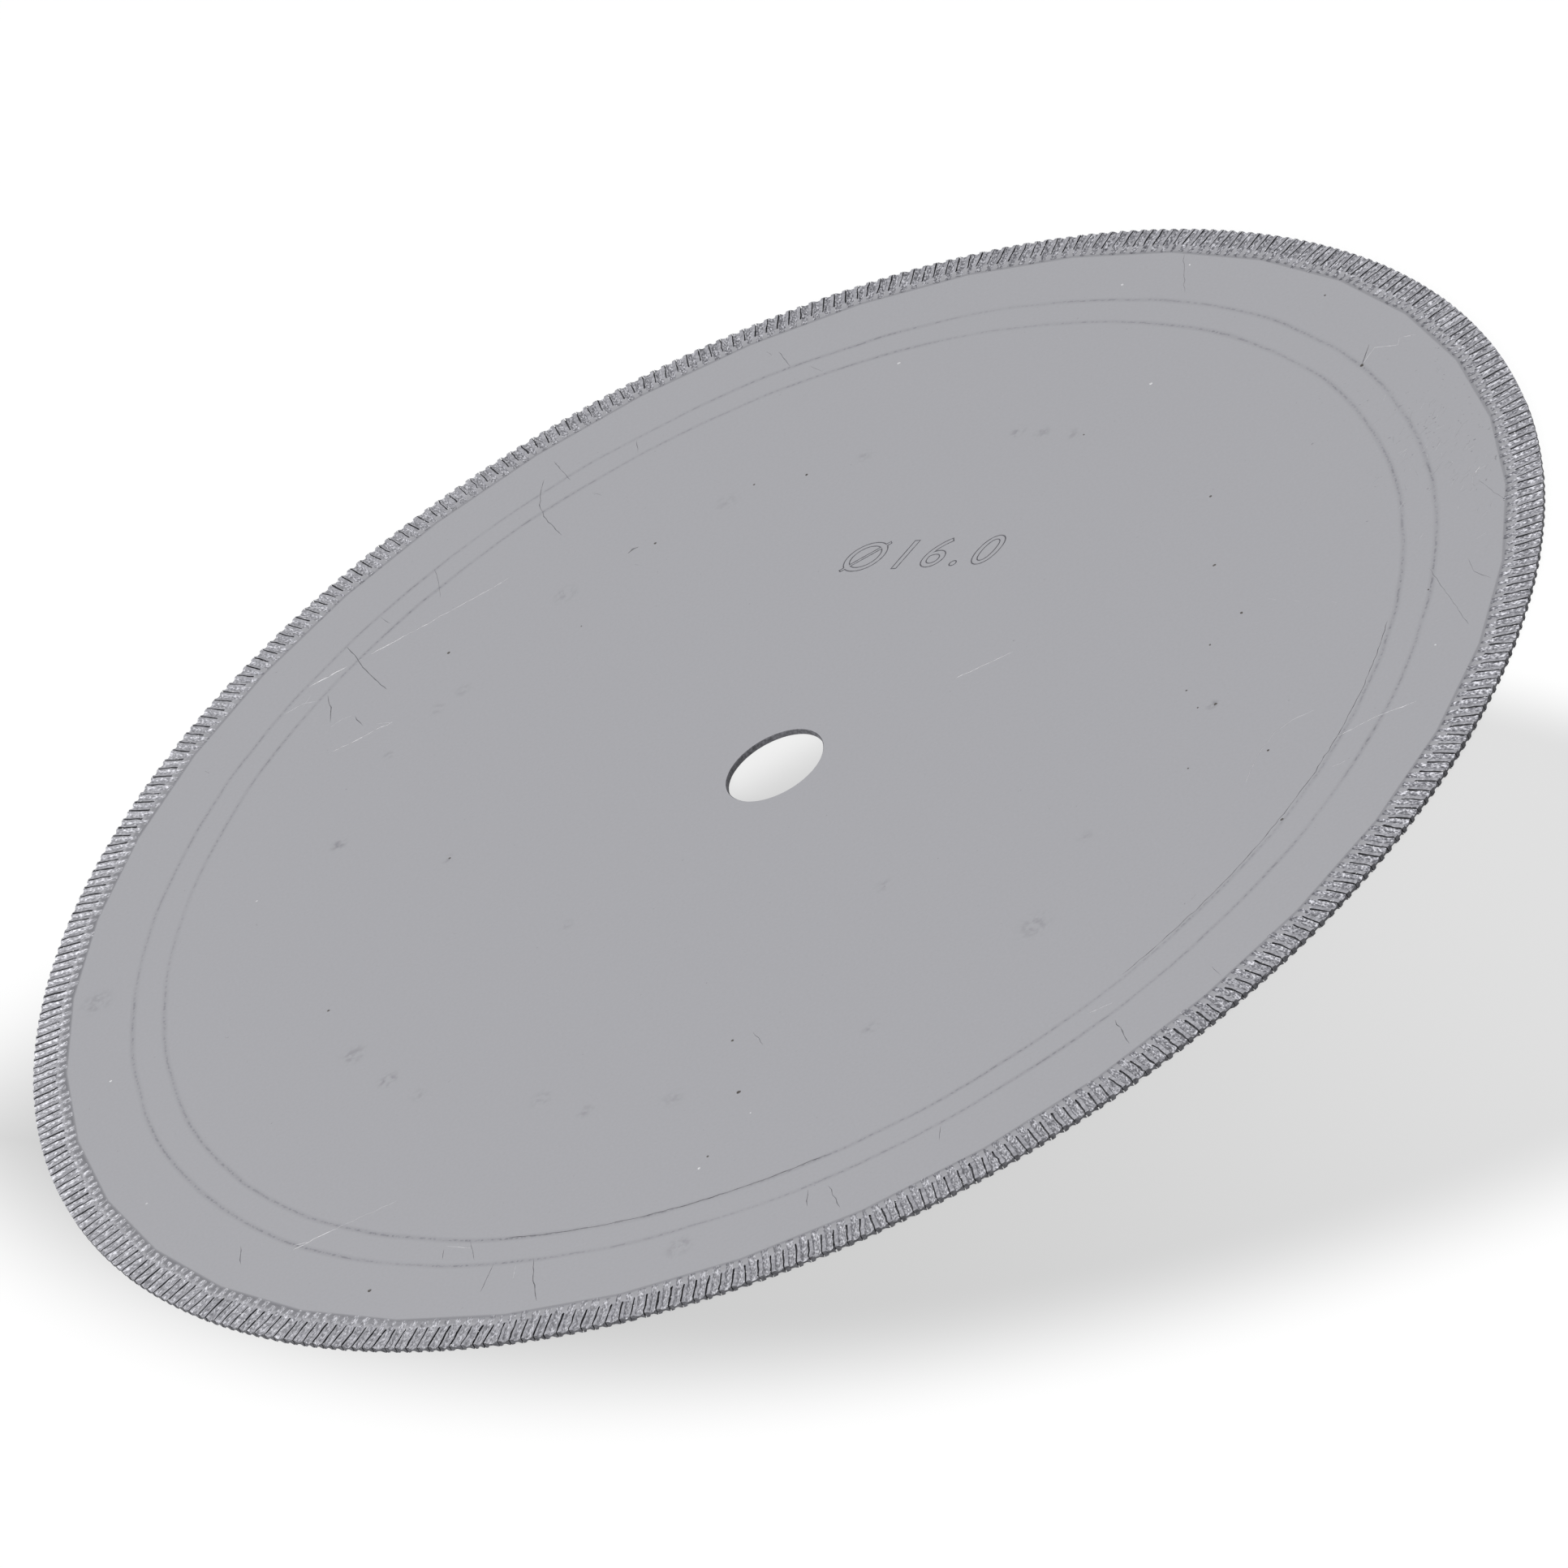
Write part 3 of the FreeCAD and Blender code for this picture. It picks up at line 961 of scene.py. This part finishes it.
# The painted shade ends at a wide arc on the left and at a straight line on the right, and fades behind
arc_centre, arc_radius = seen(135, 71), 278 * MM
line_place, line_inwards = seen(100, -89), to_blade @ Vector((-0.894, -0.447))
line_start = line_place.dot(line_inwards)
shade = soft_step("DISTANCE", arc_centre, arc_radius - 16 * MM, arc_radius + 14 * MM, 1, 0)
for edge in (
    soft_step("DOT_PRODUCT", line_inwards, line_start - 6 * MM, line_start + 8 * MM, 0, 1),
    soft_step("DOT_PRODUCT", seen(0, -1000), -65 * MM, -5 * MM, 0, 1),
):
    shade = add_node(floor_paint, "ShaderNodeMath", {"operation": "MINIMUM"}, {0: shade, 1: edge}).outputs[0]
# In the bore the painted shade is deeper on the near side
in_bore = soft_step("DOT_PRODUCT", seen(0, -1000), -8 * MM, 8 * MM, 0.38, 0.95)
near_bore = soft_step("DISTANCE", Vector((0, 0)), 9 * MM, 14 * MM, in_bore, 1)
shade = add_node(floor_paint, "ShaderNodeMath", {"operation": "MINIMUM"}, {0: shade, 1: near_bore}).outputs[0]
shade_tone = add_node(
    floor_paint, "ShaderNodeMix", {"data_type": "RGBA"},
    {"Factor": soft_step("DOT_PRODUCT", seen(1000, 0), -40 * MM, 100 * MM, 0, 1),
     6: linear("#cacaca"), 7: linear("#dddddd")},
).outputs[2]
shaded_white = add_node(
    floor_paint, "ShaderNodeMix", {"data_type": "RGBA"}, {"Factor": shade, 6: (1, 1, 1, 1), 7: shade_tone},
).outputs[2]
white = add_node(floor_paint, "ShaderNodeEmission", {}, {"Color": shaded_white, "Strength": 1.045})
share = add_node(
    floor_paint, "ShaderNodeMath", {"operation": "MULTIPLY"}, {0: looking_rays(floor_paint), 1: 0.9},
).outputs[0]
blended = add_node(
    floor_paint, "ShaderNodeMixShader", {},
    {0: share, 1: floor_shader.outputs["BSDF"], 2: white.outputs["Emission"]},
)
surface = floor_paint.node_tree.nodes["Material Output"].inputs["Surface"]
floor_paint.node_tree.links.new(blended.outputs["Shader"], surface)

# Light: a large soft lamp overhead, one low on the camera's left, and a plain white room
world = bpy.data.worlds.new("studio")
bpy.context.scene.world = world
world.use_nodes = True
world.node_tree.nodes["Background"].inputs["Color"].default_value = (1, 1, 1, 1)
world.node_tree.nodes["Background"].inputs["Strength"].default_value = 0.3
backdrop = world.node_tree.nodes.new("ShaderNodeBackground")
backdrop.inputs["Color"].default_value = (1, 1, 1, 1)
world_mix = add_node(
    world, "ShaderNodeMixShader", {},
    {0: looking_rays(world), 1: world.node_tree.nodes["Background"].outputs[0], 2: backdrop.outputs[0]},
)
world.node_tree.links.new(world_mix.outputs[0], world.node_tree.nodes["World Output"].inputs["Surface"])
for name, place, watts in (
    ("overhead_soft_box", (-0.6, -0.5, 4.9), 57),
    ("side_soft_box", (-3.2, -3.0, 2.2), 137),
):
    lamp_data = bpy.data.lights.new(name, "AREA")
    lamp_data.shape = "DISK"
    lamp_data.size = 2.4
    lamp_data.energy = watts
    lamp = bpy.data.objects.new(name, lamp_data)
    bpy.context.scene.collection.objects.link(lamp)
    lamp.location = place
    lamp.rotation_euler = (-lamp.location).to_track_quat("-Z", "Y").to_euler()

bpy.context.scene.view_settings.view_transform = "Standard"
